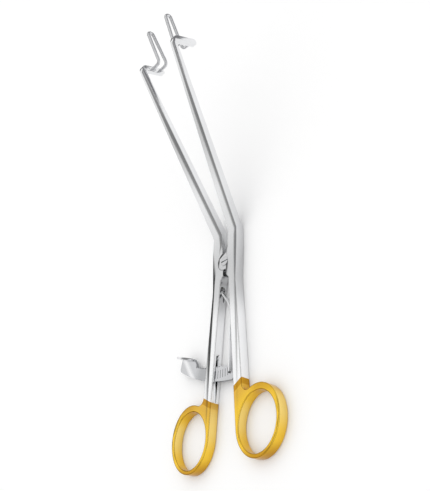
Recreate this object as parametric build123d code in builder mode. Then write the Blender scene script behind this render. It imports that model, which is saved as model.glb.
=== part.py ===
from math import acos, asin, atan2, cos, degrees, hypot, radians, sin

import os

from build123d import *

# Spreading forceps with ring handles, lying on its back.
# The origin is on the hinge axis at the resting plane. +X points to the right arm, +Y along
# the instrument from the rings to the jaws, +Z up. Lengths are in millimetres.
# The arms are drawn with the jaws shut, mirrored about the middle plane, and then turned open.

# Forgings
arm_thick = 5.0
half_open = 3.2  # degrees that each arm stands turned open from shut
edge_round = 0.5

# Hinge box and elbow
box_in_front = 1.0
box_front_y = 6.5
box_in_back = 1.35
box_back_y = -7.9
shoulder_in = 3.5
shoulder_y = -10.1
box_out = 8.7
box_out_back = 9.1
box_out_back_y = -10.5
elbow_in = 1.6
elbow_out = 7.9
elbow_y = 16.8

# Jaws, which rise from the elbow and end in a foot that turns down
jaw_rise = 29.3  # degrees
jaw_length = 108.0
jaw_end_in = 7.0
jaw_end_width = 2.4
jaw_end_depth = 2.6
foot_fold = 96.0  # degrees between jaw and foot
foot_length = 17.5
foot_height = 3.6
foot_corner_round = 4.4
foot_inside_round = 1.2
foot_tip_round = 1.75

# Finger rings, an ellipse hole in an ellipse rim that is heavier at the neck
ring_x = 27.4
ring_y = -83.9
ring_hole_x = 11.5
ring_hole_y = 13.3
ring_side_wall = 2.1
ring_end_wall = 1.9
ring_neck_wall = 3.2
neck_angle = 134.5  # degrees round the rim where the shank's outer edge meets it
neck_round = 3.2

# Half-lap hinge and its flush slotted screw
lap_radius = 4.8
lap_side_gap = 0.2
lap_face_gap = 0.04
screw_radius = 1.5
screw_head_radius = 2.4
screw_head_height = 1.6
screw_slot_width = 0.7
screw_slot_depth = 0.8
turning_gap = 0.05
thread_gap = 0.02

# Wire loops brazed into the feet
wire_radius = 0.9
loops_shut_gap = 0.1
leg_upper = 9.3  # along the foot from the jaw's top line
leg_lower = 14.8
leg_inset = 1.5
leg_seat_depth = 1.2
leg_bend = 2.2
loop_length = 20.2
loop_tip_width = 3.5
tip_bend = 1.6

# Ratchet bar, a plate that curves round the hinge and turns on a pin in the right shank.
# Its outline is drawn with pairs: millimetres beyond the toothed edge as seen from the hinge,
# degrees round the hinge from -Y towards -X.
bar_middle = 2.8  # height of the plate's middle
bar_thick = 1.6
bar_slot_gap = 0.15
tooth_radius = 54.0
tooth_depth = 0.65
tooth_pitch = 1.55  # degrees
tooth_count = 13
first_tooth = 2.9  # degrees
catch_gap = 0.15
bar_corner = (5.6, 35.2)
bar_corner_round = 2.0
grip_end = (-0.8, 37.6)
grip_crest = (-3.2, 27.5)
grip_foot = (-1.2, 23.8)
beak_top = (0.8, 1.4)
beak_tip = (1.7, -2.6)
notch_floor = (5.2, -2.5)
notch_side = (5.7, -5.2)
bar_end = (8.8, -4.9)
bar_back = (6.2, 14.3)
bar_neck = (7.2, -5.5)
bar_pin = (2.97, -9.4)
pin_radius = 0.9
pin_cover = 0.8  # metal left over the pin's upper end, which is not seen from above
eye_radius = 1.8
neck_radius = 1.5
pocket_gap = 0.35
ledge_thick = 1.1
ledge_rise = 3.6
ledge_low = 1.4

# Slot of the left shank, which the ratchet bar passes through and swings in
slot_ahead = 7.1  # in front of the toothed edge
slot_behind = 15.8

# Leaf spring between the shanks and its seat in the left shank
spring_thick = 0.6
spring_width = 2.6
spring_split = 0.8
spring_split_end_y = -29.0
spring_bend_y = -26.2
spring_bend_radius = 12.0
spring_foot = (4.3, -3.2)  # a pair like those of the ratchet bar
spring_tip_gap = 0.65
seat_front_y = -12.6
seat_back_y = -21.0
seat_width = 3.1
seat_depth = 1.6


def polar(distance, angle):
    return Vector(distance * cos(radians(angle)), distance * sin(radians(angle)))


# A point round the hinge, measured from the toothed edge and from -Y towards -X
def swept(beyond, angle):
    return polar(tooth_radius + beyond, -90 - angle)


# The angle on an ellipse where a line from a point outside touches it
def touch_angle(point, center, radius_x, radius_y):
    u = (point[0] - center[0]) / radius_x
    v = (point[1] - center[1]) / radius_y
    return degrees(atan2(v, u) + acos(1 / hypot(u, v)))


# Ring rim and the places on it where the shank's edges arrive
rim_radius_x = ring_hole_x + ring_side_wall
rim_radius_y = ring_hole_y + (ring_neck_wall + ring_end_wall) / 2
rim_center = (ring_x, ring_y + (ring_neck_wall - ring_end_wall) / 2)
rim_touch = touch_angle((shoulder_in, shoulder_y), rim_center, rim_radius_x, rim_radius_y)

# Side view of a jaw, in the plane of Y and Z
jaw_dir = polar(1, jaw_rise)
foot_dir = polar(1, jaw_rise - foot_fold)
foot_back = polar(1, jaw_rise - foot_fold - 90)
elbow_top = Vector(elbow_y, arm_thick)
jaw_corner = elbow_top + jaw_dir * jaw_length
foot_tip = jaw_corner + foot_dir * foot_length
foot_inside = jaw_corner - jaw_dir * foot_height + foot_dir * jaw_end_depth
plan_end_y = jaw_corner.X + foot_length

# Straight edges of a shank, jaws shut
rim_neck = (
    rim_center[0] + rim_radius_x * cos(radians(neck_angle)),
    rim_center[1] + rim_radius_y * sin(radians(neck_angle)),
)
rim_inner = (
    rim_center[0] + rim_radius_x * cos(radians(rim_touch)),
    rim_center[1] + rim_radius_y * sin(radians(rim_touch)),
)
inner_slope = (rim_inner[0] - shoulder_in) / (shoulder_y - rim_inner[1])
outer_slope = (rim_neck[0] - box_out_back) / (box_out_back_y - rim_neck[1])


def shank_in(y):
    return shoulder_in + (shoulder_y - y) * inner_slope


def turned(point, angle):
    return point.rotate(Axis.Z, angle)


# Where the wire legs enter a foot, in the side view
leg_line = jaw_corner + foot_back * leg_inset
leg_points = [leg_line + foot_dir * leg_upper, leg_line + foot_dir * leg_lower]

# Blank of one arm, right-hand side, jaws shut
with BuildSketch() as plan_view:
    with BuildLine():
        rim = EllipticalCenterArc(
            rim_center,
            rim_radius_x,
            rim_radius_y,
            start_angle=neck_angle,
            arc_size=rim_touch - neck_angle - 360,
        )
        Polyline(
            rim @ 0,
            (box_out_back, box_out_back_y),
            (box_out, box_front_y),
            (elbow_out, elbow_y),
            (jaw_end_in + jaw_end_width, jaw_corner.X),
            (jaw_end_in + jaw_end_width, plan_end_y),
            (jaw_end_in, plan_end_y),
            (jaw_end_in, jaw_corner.X),
            (elbow_in, elbow_y),
            (box_in_front, box_front_y),
            (box_in_back, box_back_y),
            (shoulder_in, shoulder_y),
            rim @ 1,
        )
    make_face()
    fillet(plan_view.vertices().sort_by_distance(rim @ 0)[0], radius=neck_round)
    with Locations((ring_x, ring_y)):
        Ellipse(ring_hole_x, ring_hole_y, mode=Mode.SUBTRACT)

with BuildSketch() as side_view:
    with BuildLine():
        FilletPolyline(
            (2 * ring_y, 0),
            (elbow_y, 0),
            foot_inside,
            foot_tip + foot_back * foot_height,
            foot_tip,
            jaw_corner,
            elbow_top,
            (2 * ring_y, arm_thick),
            radius=[0, 0, foot_inside_round, foot_tip_round, foot_tip_round, foot_corner_round, 0, 0],
            close=True,
        )
    make_face()

with BuildPart() as forging:
    add(plan_view.sketch)
    extrude(amount=jaw_length)
    with BuildSketch(Plane.YZ):
        add(side_view.sketch)
    extrude(amount=2 * ring_x, mode=Mode.INTERSECT)
    flats = forging.faces().filter_by(Axis.Z)
    fillet(flats.edges().filter_by_position(Axis.Y, 2 * ring_y, box_back_y), radius=edge_round)
    with BuildSketch(Plane.YZ.offset(jaw_end_in)):
        with Locations(*leg_points):
            Circle(wire_radius + thread_gap)
    extrude(amount=leg_seat_depth, mode=Mode.SUBTRACT)

# Left arm, with the lower half of the lap, the ratchet slot and the spring seat
lap_low = (arm_thick - lap_face_gap) / 2
lap_high = lap_low + lap_face_gap
slot_low = bar_middle - bar_thick / 2 - bar_slot_gap
slot_height = bar_thick + 2 * bar_slot_gap
catch_start = box_out_back + box_out_back_y * outer_slope
catch_reach = tooth_radius - catch_gap
catch_angle = degrees(atan2(outer_slope, 1)) + degrees(
    asin(catch_start * cos(atan2(outer_slope, 1)) / catch_reach)
)
catch_edge = swept(-catch_gap, -catch_angle)
slot_front_y = slot_ahead - tooth_radius
slot_back_y = -slot_behind - tooth_radius
roof_start = Vector(shank_in(slot_front_y), slot_front_y)
roof_dir = (catch_edge - roof_start).normalized()
slot_inside = roof_start - roof_dir * arm_thick
slot_outside = catch_edge + roof_dir * arm_thick
seat_floor_x = shank_in(seat_front_y) + seat_depth

with BuildPart() as left_blank:
    add(forging.part)
    with BuildSketch(Plane.XY.offset(slot_low)):
        with BuildLine():
            Polyline(
                slot_inside,
                slot_outside,
                (slot_outside.X, slot_back_y),
                (slot_inside.X, slot_back_y),
                close=True,
            )
        make_face()
    extrude(amount=slot_height, mode=Mode.SUBTRACT)
    with BuildSketch(Plane.YZ.offset(seat_floor_x)):
        with Locations(((seat_front_y + seat_back_y) / 2, bar_middle)):
            SlotOverall(seat_front_y - seat_back_y, seat_width)
    extrude(amount=-arm_thick, mode=Mode.SUBTRACT)

with BuildPart() as left_arm:
    add(mirror(left_blank.part, about=Plane.YZ, mode=Mode.PRIVATE), rotation=(0, 0, half_open))
    with BuildSketch(Plane.XY.offset(lap_low)):
        Circle(lap_radius + lap_side_gap)
    extrude(amount=arm_thick, mode=Mode.SUBTRACT)
    with BuildSketch():
        Circle(lap_radius)
    extrude(amount=lap_low)
    with BuildSketch():
        Circle(screw_radius + thread_gap)
    extrude(amount=arm_thick, mode=Mode.SUBTRACT)
left_arm.part.label = "left_arm"

# Right arm, with the upper half of the lap, the screw's counterbore and the ratchet's pocket
pin = swept(*bar_pin)
pin_shut = turned(pin, half_open)
neck_shut = turned(swept(*bar_neck), half_open)
pocket_back_y = neck_shut.Y - neck_radius - 2 * pocket_gap
pocket_out = pin_shut.X + eye_radius + pocket_gap
screw_seat = arm_thick - screw_head_height - turning_gap
pin_top = arm_thick - pin_cover

with BuildPart() as right_blank:
    add(forging.part)
    with BuildSketch(Plane.XY.offset(slot_low)) as pocket:
        with BuildLine():
            Polyline(
                (0, pin_shut.Y + eye_radius + pocket_gap),
                (pocket_out, pin_shut.Y + eye_radius + pocket_gap),
                (pocket_out, pocket_back_y),
                (0, pocket_back_y),
                close=True,
            )
        make_face()
        fillet(pocket.vertices().group_by(Axis.X)[-1], radius=eye_radius)
    extrude(amount=slot_height, mode=Mode.SUBTRACT)

with BuildPart() as right_arm:
    add(right_blank.part, rotation=(0, 0, -half_open))
    with BuildSketch():
        Circle(lap_radius + lap_side_gap)
    extrude(amount=lap_high, mode=Mode.SUBTRACT)
    with BuildSketch(Plane.XY.offset(lap_high)):
        Circle(lap_radius)
    extrude(amount=arm_thick - lap_high)
    with BuildSketch():
        Circle(screw_radius + turning_gap)
    extrude(amount=arm_thick, mode=Mode.SUBTRACT)
    with BuildSketch(Plane.XY.offset(screw_seat)):
        Circle(screw_head_radius + turning_gap)
    extrude(amount=screw_head_height + turning_gap, mode=Mode.SUBTRACT)
    with BuildSketch():
        with Locations(pin):
            Circle(pin_radius + thread_gap)
    extrude(amount=pin_top, mode=Mode.SUBTRACT)
right_arm.part.label = "right_arm"

with BuildPart() as hinge_screw:
    with BuildSketch():
        Circle(screw_radius)
    extrude(amount=arm_thick)
    with BuildSketch(Plane.XY.offset(arm_thick)):
        Circle(screw_head_radius)
    extrude(amount=-screw_head_height)
    with BuildSketch(Plane.XY.offset(arm_thick)):
        Rectangle(2 * screw_head_radius, screw_slot_width)
    extrude(amount=-screw_slot_depth, mode=Mode.SUBTRACT)
hinge_screw.part.label = "hinge_screw"

with BuildPart() as ratchet_pin:
    with BuildSketch():
        with Locations(pin):
            Circle(pin_radius)
    extrude(amount=pin_top - thread_gap)
ratchet_pin.part.label = "ratchet_pin"

# Ratchet bar, teeth towards the hinge, thumb ledge at its free end
tooth_line = []
for number in range(tooth_count):
    angle = first_tooth + (tooth_count - number) * tooth_pitch
    tooth_line.append(swept(0, angle))
    tooth_line.append(swept(tooth_depth, angle))
bar_low = bar_middle - bar_thick / 2
ledge_start = swept(*grip_end)
ledge_end = swept(*grip_crest)
ledge_length = (ledge_end - ledge_start).length
ledge_plane = Plane(
    ledge_start + Vector(0, 0, bar_low + bar_thick),
    x_dir=ledge_end - ledge_start,
    z_dir=(ledge_end - ledge_start).cross(Vector(0, 0, 1)),
)

with BuildPart() as ratchet_bar:
    with BuildSketch(Plane.XY.offset(bar_low)) as plate:
        with BuildLine():
            front = Polyline(
                swept(*bar_corner),
                swept(*grip_end),
                swept(*grip_crest),
                swept(*grip_foot),
                *tooth_line,
                swept(0, first_tooth),
                swept(*beak_top),
                swept(*beak_tip),
                swept(*notch_floor),
                swept(*notch_side),
                swept(*bar_end),
            )
            ThreePointArc(front @ 1, swept(*bar_back), front @ 0)
        make_face()
        fillet(plate.vertices().sort_by_distance(front @ 0)[0], radius=bar_corner_round)
    extrude(amount=bar_thick)
    with BuildSketch(Plane.XY.offset(bar_low)) as eye:
        with Locations(swept(*bar_neck)):
            Circle(neck_radius)
        with Locations(pin):
            Circle(eye_radius)
        make_hull(eye.edges())
    extrude(amount=bar_thick)
    with BuildSketch(Plane.XY.offset(bar_low)):
        with Locations(pin):
            Circle(pin_radius + turning_gap)
    extrude(amount=bar_thick, mode=Mode.SUBTRACT)
    with BuildSketch(ledge_plane):
        with BuildLine():
            Polyline(
                (0, 0),
                (0, ledge_rise),
                (ledge_length, ledge_low),
                (ledge_length, 0),
                close=True,
            )
        make_face()
    extrude(amount=ledge_thick)
ratchet_bar.part.label = "ratchet_bar"

# Leaf spring, bent where it bears on the right shank, slit from its upper end
spring_tip_y = (3 * seat_front_y + seat_back_y) / 4
spring_tip = turned(Vector(spring_tip_gap - seat_floor_x, spring_tip_y), half_open)
spring_bend = turned(Vector(shank_in(spring_bend_y), spring_bend_y), -half_open)

with BuildPart() as leaf_spring:
    with BuildSketch(Plane.XY.offset(bar_middle - spring_width / 2)):
        with BuildLine():
            FilletPolyline(spring_tip, spring_bend, swept(*spring_foot), radius=spring_bend_radius)
            offset(amount=spring_thick / 2, mode=Mode.REPLACE)
        make_face()
    extrude(amount=spring_width)
    with BuildSketch(Plane.XY.offset(bar_middle - spring_split / 2)):
        with Locations((0, spring_split_end_y)):
            Rectangle(2 * ring_x, -spring_split_end_y, align=(Align.CENTER, Align.MIN))
    extrude(amount=spring_split, mode=Mode.SUBTRACT)
leaf_spring.part.label = "leaf_spring"

# Wire loops, one bent wire each, both legs brazed into the foot
loop_x = wire_radius + loops_shut_gap / 2
leg_x = jaw_end_in + leg_seat_depth
tip_shift = foot_dir * ((leg_lower - leg_upper - loop_tip_width) / 2)
tip_upper = leg_points[0] + jaw_dir * loop_length + tip_shift
tip_lower = leg_points[1] + jaw_dir * loop_length - tip_shift

with BuildPart() as loop_blank:
    with BuildLine() as wire_line:
        FilletPolyline(
            (leg_x, leg_points[0].X, leg_points[0].Y),
            (loop_x, leg_points[0].X, leg_points[0].Y),
            (loop_x, tip_upper.X, tip_upper.Y),
            (loop_x, tip_lower.X, tip_lower.Y),
            (loop_x, leg_points[1].X, leg_points[1].Y),
            (leg_x, leg_points[1].X, leg_points[1].Y),
            radius=[leg_bend, tip_bend, tip_bend, leg_bend],
        )
    with BuildSketch(Plane(wire_line.line @ 0, z_dir=wire_line.line % 0)):
        Circle(wire_radius)
    sweep()

with BuildPart() as left_wire_loop:
    add(mirror(loop_blank.part, about=Plane.YZ, mode=Mode.PRIVATE), rotation=(0, 0, half_open))
left_wire_loop.part.label = "left_wire_loop"

with BuildPart() as right_wire_loop:
    add(loop_blank.part, rotation=(0, 0, -half_open))
right_wire_loop.part.label = "right_wire_loop"

os.makedirs("parts", exist_ok=True)
export_step(left_arm.part, "parts/left_arm.step")
export_step(right_arm.part, "parts/right_arm.step")
export_step(left_wire_loop.part, "parts/left_wire_loop.step")
export_step(right_wire_loop.part, "parts/right_wire_loop.step")
export_step(hinge_screw.part, "parts/hinge_screw.step")
export_step(ratchet_bar.part, "parts/ratchet_bar.step")
export_step(ratchet_pin.part, "parts/ratchet_pin.step")
export_step(leaf_spring.part, "parts/leaf_spring.step")
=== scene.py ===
import math

import bmesh
import bpy
from mathutils import Matrix, Vector


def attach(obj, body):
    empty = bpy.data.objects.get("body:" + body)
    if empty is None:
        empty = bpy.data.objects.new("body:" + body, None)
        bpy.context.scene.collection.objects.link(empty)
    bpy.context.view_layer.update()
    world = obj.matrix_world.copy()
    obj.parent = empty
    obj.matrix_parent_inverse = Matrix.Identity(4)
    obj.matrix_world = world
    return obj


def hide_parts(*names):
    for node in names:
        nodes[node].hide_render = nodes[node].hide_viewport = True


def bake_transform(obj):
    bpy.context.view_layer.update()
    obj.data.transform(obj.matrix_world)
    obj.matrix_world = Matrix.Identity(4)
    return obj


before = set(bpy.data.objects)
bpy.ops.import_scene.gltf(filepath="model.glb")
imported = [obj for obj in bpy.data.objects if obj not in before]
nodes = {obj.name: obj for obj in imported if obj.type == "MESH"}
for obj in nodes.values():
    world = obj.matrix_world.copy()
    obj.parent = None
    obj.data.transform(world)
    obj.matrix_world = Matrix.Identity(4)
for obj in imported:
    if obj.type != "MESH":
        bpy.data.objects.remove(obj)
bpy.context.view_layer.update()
scene = bpy.context.scene
weldDistance = 1e-6  # vertices closer than this are joined
print("frame loaded")


# Small helpers for shader trees
class Tree:
    def __init__(self, tree):
        self.tree = tree

    def node(self, kind, **settings):
        made = self.tree.nodes.new(kind)
        for name, value in settings.items():
            setattr(made, name, value)
        return made

    def put(self, socket, value):
        if isinstance(value, bpy.types.NodeSocket):
            self.tree.links.new(value, socket)
        else:
            socket.default_value = value

    def math(self, operation, a, b=0.0, c=0.0, clamp=False):
        made = self.node("ShaderNodeMath", operation=operation, use_clamp=clamp)
        self.put(made.inputs[0], a)
        self.put(made.inputs[1], b)
        self.put(made.inputs[2], c)
        return made.outputs[0]

    def mixColors(self, factor, a, b):
        made = self.node("ShaderNodeMix", data_type="RGBA")
        self.put(made.inputs[0], factor)
        self.put(made.inputs[6], a)
        self.put(made.inputs[7], b)
        return made.outputs[2]

    def mixNumbers(self, factor, a, b):
        made = self.node("ShaderNodeMix", data_type="FLOAT")
        self.put(made.inputs[0], factor)
        self.put(made.inputs[2], a)
        self.put(made.inputs[3], b)
        return made.outputs[0]

    # A smooth step from first to last while the value crosses the span, in the span's direction
    def ramp(self, value, span, first=0.0, last=1.0):
        made = self.node("ShaderNodeMapRange", interpolation_type="SMOOTHSTEP")
        for socket, number in enumerate((value, span[0], span[1], first, last)):
            self.put(made.inputs[socket], number)
        return made.outputs[0]

    # 1 at the place, falling to 0 as the distance from it crosses the span
    def near(self, value, place, span):
        away = self.math("ABSOLUTE", self.math("SUBTRACT", value, place))
        return self.math("SUBTRACT", 1.0, self.ramp(away, span))

    def coordinates(self, kind):
        return self.node("ShaderNodeTexCoord").outputs[kind]

    def split(self, vector):
        made = self.node("ShaderNodeSeparateXYZ")
        self.put(made.inputs[0], vector)
        return made.outputs[0], made.outputs[1], made.outputs[2]

    # How squarely the surface faces along an axis, either way
    def facing(self, axis):
        return self.math("ABSOLUTE", self.split(self.coordinates("Normal"))[axis])

    def noise(self, place, scale, stretch, detail):
        move = self.node("ShaderNodeVectorMath", operation="MULTIPLY")
        self.put(move.inputs[0], place)
        self.put(move.inputs[1], stretch)
        made = self.node("ShaderNodeTexNoise")
        self.put(made.inputs["Vector"], move.outputs[0])
        self.put(made.inputs["Scale"], scale)
        self.put(made.inputs["Detail"], detail)
        return made.outputs["Fac"]


def newGroup(name, inputs, outputs):
    group = bpy.data.node_groups.new(name, "ShaderNodeTree")
    for label, kind in inputs:
        group.interface.new_socket(label, in_out="INPUT", socket_type=kind)
    for label, kind in outputs:
        group.interface.new_socket(label, in_out="OUTPUT", socket_type=kind)
    tree = Tree(group)
    return group, tree, tree.node("NodeGroupInput"), tree.node("NodeGroupOutput")


# Satin metal: fine grain along the instrument and faint blotches, with painted shade round the hinge
# and on the broad faces halfway up the jaws
satin = {
    "grainScale": 1400.0,
    "grainStretch": (5.0, 0.6, 5.0),
    "cloudScale": 38.0,
    "cloudStretch": (1.4, 0.6, 1.4),
    "detail": 2.0,
    "roughness": 0.09,
    "cloudRoughness": 0.05,
    "shadeAndBlotchValue": 0.62,  # brightness of the darkest steel, in the painted shade and the blotches
    "paintedShadeShare": 0.7,
    "hingeAt": -0.003,  # places are along Y, in metres
    "hingeFade": (0.0, 0.04),
    "jawAt": 0.066,
    "jawFade": (0.0, 0.038),
    "broadFace": (0.5, 0.8),  # how far the normal points along Z
    "blotchFrom": (0.35, 0.7),
    "blotchShare": 0.16,
    "bumpStrength": 0.006,
    "bumpDistance": 0.0002,
}
satinGroup, t, gin, gout = newGroup(
    "satinGrainAndShade",
    [("Tone", "NodeSocketColor"), ("Grain", "NodeSocketFloat")],
    [("Color", "NodeSocketColor"), ("Roughness", "NodeSocketFloat"), ("Height", "NodeSocketFloat")],
)
place = t.coordinates("Object")
along = t.split(place)[1]
grain = t.noise(place, satin["grainScale"], satin["grainStretch"], satin["detail"])
cloud = t.noise(place, satin["cloudScale"], satin["cloudStretch"], satin["detail"])
darker = t.node("ShaderNodeHueSaturation")
t.put(darker.inputs["Value"], satin["shadeAndBlotchValue"])
t.put(darker.inputs["Color"], gin.outputs["Tone"])
# Painted shade round the hinge and on the broad faces halfway up the jaws; the blotches add random tone
hinge = t.near(along, satin["hingeAt"], satin["hingeFade"])
jaw = t.near(along, satin["jawAt"], satin["jawFade"])
jaw = t.math("MULTIPLY", jaw, t.ramp(t.facing(2), satin["broadFace"]))
blotch = t.math("MULTIPLY", t.ramp(cloud, satin["blotchFrom"]), satin["blotchShare"])
shadeAndBlotch = t.math("MULTIPLY_ADD", t.math("MAXIMUM", hinge, jaw), satin["paintedShadeShare"], blotch, clamp=True)
t.put(gout.inputs["Color"], t.mixColors(shadeAndBlotch, gin.outputs["Tone"], darker.outputs[0]))
rough = t.math("MULTIPLY_ADD", t.math("SUBTRACT", grain, 0.5), gin.outputs["Grain"], satin["roughness"])
rough = t.math("MULTIPLY_ADD", cloud, satin["cloudRoughness"], rough)
t.put(gout.inputs["Roughness"], rough)
t.put(gout.inputs["Height"], grain)

# Gold plate on the finger rings: its colour, and the mask of where it starts on a shank.
# The colour carries painted shade: ochre in a narrow band at its slanted start, at the rings' ends
# and on their outer shoulders, honey behind the band, bright on the rings; and a painted highlight,
# pale halfway round their walls.
gold = {
    "slant": 0.58,  # how much further forward the start is for each metre outward
    "ochre": (0.60, 0.31, 0.024, 1),
    "honey": (0.80, 0.48, 0.07, 1),
    "bright": (0.95, 0.61, 0.062, 1),
    "wallHighlight": (0.98, 0.76, 0.27, 1),
    "honeyFrom": (0.0028, 0.0034),  # behind the start
    "brightFrom": (0.005, 0.014),  # behind the start
    "wallFacing": (0.55, 0.95),  # how far the normal points along X
    "wallHighlightAt": -0.081,  # along Y, as the end and the shoulders
    "wallHighlightFade": (0.002, 0.013),
    "wallHighlightShare": 0.7,
    "endShadeFrom": (-0.094, -0.1005),
    "shoulderShadeFrom": (-0.0775, -0.0695),
    "shoulderShadeOut": (0.016, 0.024),  # from the middle plane
    "shoulderShadeShare": 0.7,
}
goldGroup, t, gin, gout = newGroup(
    "giltRing",
    [("Start", "NodeSocketFloat"), ("Side", "NodeSocketFloat")],
    [("Mask", "NodeSocketFloat"), ("Color", "NodeSocketColor")],
)
x, y = t.split(t.coordinates("Object"))[:2]
outward = t.math("MULTIPLY", x, gin.outputs["Side"])
edge = t.math("MULTIPLY_ADD", outward, gold["slant"], gin.outputs["Start"])
behind = t.math("SUBTRACT", edge, y)
t.put(gout.inputs["Mask"], t.math("GREATER_THAN", behind, 0.0))
# Painted shade: ochre at the slanted start of the plate, through honey to bright behind it
color = t.mixColors(t.ramp(behind, gold["honeyFrom"]), gold["ochre"], gold["honey"])
color = t.mixColors(t.ramp(behind, gold["brightFrom"]), color, gold["bright"])
# Painted highlight: pale halfway round the ring walls
wall = t.ramp(t.facing(0), gold["wallFacing"])
wallHighlight = t.math("MULTIPLY", wall, t.near(y, gold["wallHighlightAt"], gold["wallHighlightFade"]))
wallHighlight = t.math("MULTIPLY", wallHighlight, gold["wallHighlightShare"])
color = t.mixColors(wallHighlight, color, gold["wallHighlight"])
# Painted shade: ochre at the rings' ends and on their outer shoulders
shoulderShade = t.ramp(t.math("ABSOLUTE", x), gold["shoulderShadeOut"])
shoulderShade = t.math("MULTIPLY", shoulderShade, t.ramp(y, gold["shoulderShadeFrom"]))
end = t.ramp(y, gold["endShadeFrom"])
end = t.math("MULTIPLY_ADD", shoulderShade, gold["shoulderShadeShare"], end, clamp=True)
t.put(gout.inputs["Color"], t.mixColors(end, color, gold["ochre"]))


def steel(name, tone, grain):
    material = bpy.data.materials.new(name)
    material.use_nodes = True
    tree = Tree(material.node_tree)
    shader = material.node_tree.nodes["Principled BSDF"]
    shader.inputs["Metallic"].default_value = 1.0
    group = tree.node("ShaderNodeGroup", node_tree=satinGroup)
    group.inputs["Tone"].default_value = tone
    group.inputs["Grain"].default_value = grain
    tree.put(shader.inputs["Base Color"], group.outputs["Color"])
    tree.put(shader.inputs["Roughness"], group.outputs["Roughness"])
    height = tree.node("ShaderNodeBump")
    height.inputs["Strength"].default_value = satin["bumpStrength"]
    height.inputs["Distance"].default_value = satin["bumpDistance"]
    tree.put(height.inputs["Height"], group.outputs["Height"])
    tree.put(shader.inputs["Normal"], height.outputs[0])
    return material, tree, shader, group


# Angles are in degrees
softening = {"flatAngle": 0.3, "sharpAngle": 38, "smoothAngle": 32, "segments": 3, "profile": 0.5}


# A copy of a CAD node with its sharp edges broken, shown in its place.
# Faces larger than the plain area are shaded flat.
def softened(node, name, body, material, width, plainArea=math.inf):
    mesh = nodes[node].data.copy()
    mesh.materials.clear()
    mesh.materials.append(material)
    work = bmesh.new()
    work.from_mesh(mesh)
    bmesh.ops.remove_doubles(work, verts=work.verts, dist=weldDistance)
    flatTurn = math.radians(softening["flatAngle"])
    bmesh.ops.dissolve_limit(work, angle_limit=flatTurn, verts=work.verts, edges=work.edges)
    sharpTurn = math.radians(softening["sharpAngle"])
    bmesh.ops.bevel(
        work,
        geom=[edge for edge in work.edges if edge.is_manifold and edge.calc_face_angle() > sharpTurn],
        offset=width,
        segments=softening["segments"],
        profile=softening["profile"],
        affect="EDGES",
        clamp_overlap=True,
    )
    for face in work.faces:
        face.smooth = face.calc_area() < plainArea
        face.material_index = 0
    smoothTurn = math.radians(softening["smoothAngle"])
    for edge in work.edges:
        edge.smooth = edge.is_manifold and edge.calc_face_angle() < smoothTurn
    work.to_mesh(mesh)
    work.free()
    piece = bpy.data.objects.new(name, mesh)
    scene.collection.objects.link(piece)
    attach(piece, body)
    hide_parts(node)


# Arms: steel forgings with gilt rings, with a painted highlight that makes them paler towards the rings
arm = {
    "tone": (0.88, 0.885, 0.893, 1),
    "grain": 0.12,
    "highlightTone": (0.97, 0.975, 0.98, 1),
    "highlightFrom": (-0.018, -0.036),
    "edge": 0.00045,  # width of the broken edges
    "sides": {"left": (-1.0, -0.0751), "right": (1.0, -0.0713)},  # side in X, start of the gold in Y
}
for sideName, (side, start) in arm["sides"].items():
    material, tree, shader, group = steel(sideName + "ArmSteel", arm["tone"], arm["grain"])
    gilt = tree.node("ShaderNodeGroup", node_tree=goldGroup)
    gilt.inputs["Start"].default_value = start
    gilt.inputs["Side"].default_value = side
    along = tree.split(tree.coordinates("Object"))[1]
    # Painted highlight: the bare steel turns paler towards the rings
    paintedHighlight = tree.ramp(along, arm["highlightFrom"])
    bare = tree.mixColors(paintedHighlight, group.outputs["Color"], arm["highlightTone"])
    color = tree.mixColors(gilt.outputs["Mask"], bare, gilt.outputs["Color"])
    tree.put(shader.inputs["Base Color"], color)
    node = sideName + "_arm"
    softened(node, sideName + "Arm", node, material, arm["edge"])
print("arms made")

# Wire loops, on the CAD nodes
wire = {"tone": (0.72, 0.725, 0.74, 1), "grain": 0.1}
wireSteel = steel("wireSteel", wire["tone"], wire["grain"])[0]
for node in ("left_wire_loop", "right_wire_loop"):
    nodes[node].material_slots[0].material = wireSteel
print("wire loops made")

# Screw and pin, on the CAD nodes: the screw's head is flush, and the pin is let in from below
screw = {"tone": (0.84, 0.845, 0.855, 1), "grain": 0.1}
screwSteel = steel("screwSteel", screw["tone"], screw["grain"])[0]
for node in ("hinge_screw", "ratchet_pin"):
    nodes[node].material_slots[0].material = screwSteel
print("screw and pin made")

# Ratchet bar: graduation lines radial to the hinge, a painted sheen across its tab, a painted shadow of
# the left shank around where the bar runs through its slot, and darker sheared walls. Turns are degrees
# about the hinge.
ratchet = {
    "tone": (0.64, 0.645, 0.66, 1),
    "grain": 0.12,
    "edge": 0.0003,  # width of the broken edges
    "plainArea": 0.00002,
    "shankShadow": (0.46, 0.465, 0.475, 1),
    "shankShadowFrom": (9.0, 14.0),
    "shankShadowTo": (24.0, 17.0),
    "sheen": (0.9, 0.9, 0.91, 1),
    "sheenLine": (0.86, 0.51, 0.0486),  # share of x, share of y, offset
    "sheenFade": (0.0, 0.0024),
    "sheared": (0.26, 0.265, 0.275, 1),
    "wallFacing": (0.8, 0.4),  # how far the normal points along Z
    "plateTop": 0.0037,  # the walls of the ledge above it stay plain
    "line": (0.16, 0.16, 0.17, 1),
    "firstLine": -5.5,
    "lineStep": 1.7,
    "lineShare": 0.2,  # of a step
    "linesFrom": -6.5,
    "linesTo": 9.0,
    "lineInner": 0.0562,  # from the hinge
    "lineOuter": 0.0600,
}
material, tree, shader, group = steel("ratchetSteel", ratchet["tone"], ratchet["grain"])
x, y, z = tree.split(tree.coordinates("Object"))
turn = tree.math("ARCTAN2", tree.math("MULTIPLY", x, -1.0), tree.math("MULTIPLY", y, -1.0))
turn = tree.math("MULTIPLY", turn, math.degrees(1.0))
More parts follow.
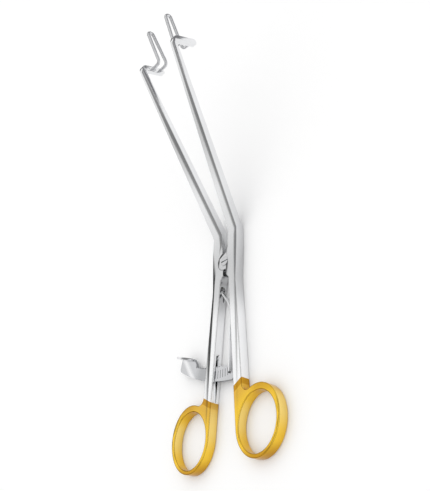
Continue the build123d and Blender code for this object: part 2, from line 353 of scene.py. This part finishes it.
reach = tree.math("SQRT", tree.math("MULTIPLY_ADD", x, x, tree.math("MULTIPLY", y, y)))
# Painted shadow of the left shank, darker around where the bar runs through its slot
shankShadow = tree.ramp(turn, ratchet["shankShadowFrom"])
shankShadow = tree.math("MULTIPLY", shankShadow, tree.ramp(turn, ratchet["shankShadowTo"]))
color = tree.mixColors(shankShadow, group.outputs["Color"], ratchet["shankShadow"])
# Painted sheen: a pale highlight band across the tab
xShare, yShare, offset = ratchet["sheenLine"]
offSheen = tree.math("MULTIPLY_ADD", x, xShare, offset)
offSheen = tree.math("ABSOLUTE", tree.math("MULTIPLY_ADD", y, yShare, offSheen))
offSheen = tree.ramp(offSheen, ratchet["sheenFade"])
color = tree.mixColors(offSheen, ratchet["sheen"], color)
wall = tree.ramp(tree.facing(2), ratchet["wallFacing"])
wall = tree.math("MULTIPLY", wall, tree.math("LESS_THAN", z, ratchet["plateTop"]))
color = tree.mixColors(wall, color, ratchet["sheared"])
step = tree.math("DIVIDE", tree.math("SUBTRACT", turn, ratchet["firstLine"]), ratchet["lineStep"])
off = tree.math("SUBTRACT", tree.math("FRACT", tree.math("ADD", step, 0.5)), 0.5)
line = tree.math("LESS_THAN", tree.math("ABSOLUTE", off), ratchet["lineShare"] / 2)
for bound in (
    tree.math("GREATER_THAN", turn, ratchet["linesFrom"]),
    tree.math("LESS_THAN", turn, ratchet["linesTo"]),
    tree.math("GREATER_THAN", reach, ratchet["lineInner"]),
    tree.math("LESS_THAN", reach, ratchet["lineOuter"]),
):
    line = tree.math("MULTIPLY", line, bound)
tree.put(shader.inputs["Base Color"], tree.mixColors(line, color, ratchet["line"]))
edge, plainArea = ratchet["edge"], ratchet["plainArea"]
softened("ratchet_bar", "ratchetBar", "ratchet", material, edge, plainArea)
print("ratchet bar made")

# Leaf spring: a copy of the CAD strip, cut across at even steps between a point on the right arm and
# one on the left
spring = {
    "tone": (0.90, 0.905, 0.915, 1),
    "grain": 0.1,
    "start": (0.0036, -0.027, 0.0028),  # the cuts go from here, on the right arm
    "end": (-0.0032, -0.0165, 0.0028),  # to here, on the left arm
    "cuts": 18,
    "cutSnap": 1e-7,
}
springMesh = nodes["leaf_spring"].data.copy()
springMesh.materials.clear()
springMesh.materials.append(steel("springSteel", spring["tone"], spring["grain"])[0])
work = bmesh.new()
work.from_mesh(springMesh)
bmesh.ops.remove_doubles(work, verts=work.verts, dist=weldDistance)
start = Vector(spring["start"])
end = Vector(spring["end"])
for number in range(spring["cuts"] + 1):
    at = start.lerp(end, number / spring["cuts"])
    whole = work.verts[:] + work.edges[:] + work.faces[:]
    bmesh.ops.bisect_plane(work, geom=whole, plane_co=at, plane_no=end - start, dist=spring["cutSnap"])
work.to_mesh(springMesh)
work.free()
leafSpring = bpy.data.objects.new("leafSpring", springMesh)
scene.collection.objects.link(leafSpring)
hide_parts("leaf_spring")
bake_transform(leafSpring)
print("leaf spring made")

# Floor, a pale table that stays white and takes a soft shadow. The metal mirrors a white sheet
# on it and the darker room outside the sheet.
table = {
    "paint": (0.985, 0.985, 0.985, 1),
    "sheet": (0.94, 0.94, 0.945, 1),
    "outside": (0.2, 0.2, 0.21, 1),
    "center": (0.0, 0.02, 0.0),
    "sheetEdge": (0.225, 0.245),
    "half": 3.0,
    "height": -0.0002,
    "roughness": 0.9,
}
signs = ((-1, -1), (1, -1), (1, 1), (-1, 1))
corners = [(x * table["half"], y * table["half"], table["height"]) for x, y in signs]
floorMesh = bpy.data.meshes.new("floor")
floorMesh.from_pydata(corners, [], [(0, 1, 2, 3)])
floor = bpy.data.objects.new("floor", floorMesh)
scene.collection.objects.link(floor)
floorPaint = bpy.data.materials.new("floorPaint")
floorPaint.use_nodes = True
floorShader = floorPaint.node_tree.nodes["Principled BSDF"]
t = Tree(floorPaint.node_tree)
offCenter = t.node("ShaderNodeVectorMath", operation="DISTANCE")
t.put(offCenter.inputs[0], t.coordinates("Object"))
t.put(offCenter.inputs[1], Vector(table["center"]))
outside = t.ramp(offCenter.outputs["Value"], table["sheetEdge"])
mirrored = t.mixColors(outside, table["sheet"], table["outside"])
glossy = t.node("ShaderNodeLightPath").outputs["Is Glossy Ray"]
t.put(floorShader.inputs["Base Color"], t.mixColors(glossy, table["paint"], mirrored))
floorShader.inputs["Roughness"].default_value = table["roughness"]
floorShader.inputs["Specular IOR Level"].default_value = 0.0
floorMesh.materials.append(floorPaint)
print("floor made")

# Studio: the camera sees white. The metal sees a bright tent with a dark hem, a dark ring high up
# and a skirt below the hem, darker on one side. The rest is lit by a dome with a broad lamp.
studio = {
    "backdrop": 1.0,
    "hem": 0.05,
    "wall": 0.95,
    "hemRise": (0.34, 0.48),  # rises are sines of the height above the horizon
    "skirt": 0.6,
    "skirtSide": 0.15,
    "skirtTurn": (-0.3, -0.7),  # towards the darker side, in X
    "skirtRise": (0.26, 0.14),
    "ring": 0.3,
    "ringFrom": (0.78, 0.82),
    "ringTo": (0.90, 0.94),
    "dome": 0.94,
    "lamp": 1.14,
    "lampSpread": (0.4, 1.0),  # cosines of the angle from its middle
    "toLamp": (-0.35, 0.25, 0.9),
    "color": (1, 1, 1, 1),
}
world = bpy.data.worlds.new("studio")
world.use_nodes = True
t = Tree(world.node_tree)
background = world.node_tree.nodes["Background"]
direction = t.coordinates("Generated")
across, _, rise = t.split(direction)
tent = t.ramp(rise, studio["hemRise"], studio["hem"], studio["wall"])
skirt = t.ramp(across, studio["skirtTurn"], studio["skirt"], studio["skirtSide"])
tent = t.math("MAXIMUM", tent, t.math("MULTIPLY", t.ramp(rise, studio["skirtRise"]), skirt))
ring = t.math("SUBTRACT", t.ramp(rise, studio["ringFrom"]), t.ramp(rise, studio["ringTo"]))
tent = t.math("MULTIPLY_ADD", ring, studio["ring"] - studio["wall"], tent)
toLamp = t.node("ShaderNodeVectorMath", operation="DOT_PRODUCT")
t.put(toLamp.inputs[0], direction)
t.put(toLamp.inputs[1], Vector(studio["toLamp"]).normalized())
lamp = t.ramp(toLamp.outputs["Value"], studio["lampSpread"], studio["dome"], studio["lamp"])
ray = t.node("ShaderNodeLightPath")
level = t.mixNumbers(ray.outputs["Is Glossy Ray"], lamp, tent)
level = t.mixNumbers(ray.outputs["Is Camera Ray"], level, studio["backdrop"])
t.put(background.inputs["Color"], studio["color"])
t.put(background.inputs["Strength"], level)
scene.world = world
print("studio made")

# Camera fitted to the photograph
view = {
    "place": (0.229146, -0.166949, 0.197433),
    "right": (0.64107, 0.02385, -0.76711),
    "up": (0.37554, 0.86194, 0.34064),
    "back": (0.66933, -0.50646, 0.54360),
    "lens": 50.158,
    "sensor": 36.0,
    "nearest": 0.01,
}
cameraData = bpy.data.cameras.new("camera")
cameraData.lens = view["lens"]
cameraData.sensor_width = view["sensor"]
cameraData.clip_start = view["nearest"]
camera = bpy.data.objects.new("camera", cameraData)
turnTo = Matrix((view["right"], view["up"], view["back"])).transposed().to_4x4()
camera.matrix_world = Matrix.Translation(view["place"]) @ turnTo
scene.collection.objects.link(camera)
scene.camera = camera
scene.view_settings.view_transform = "Standard"
print("camera set")
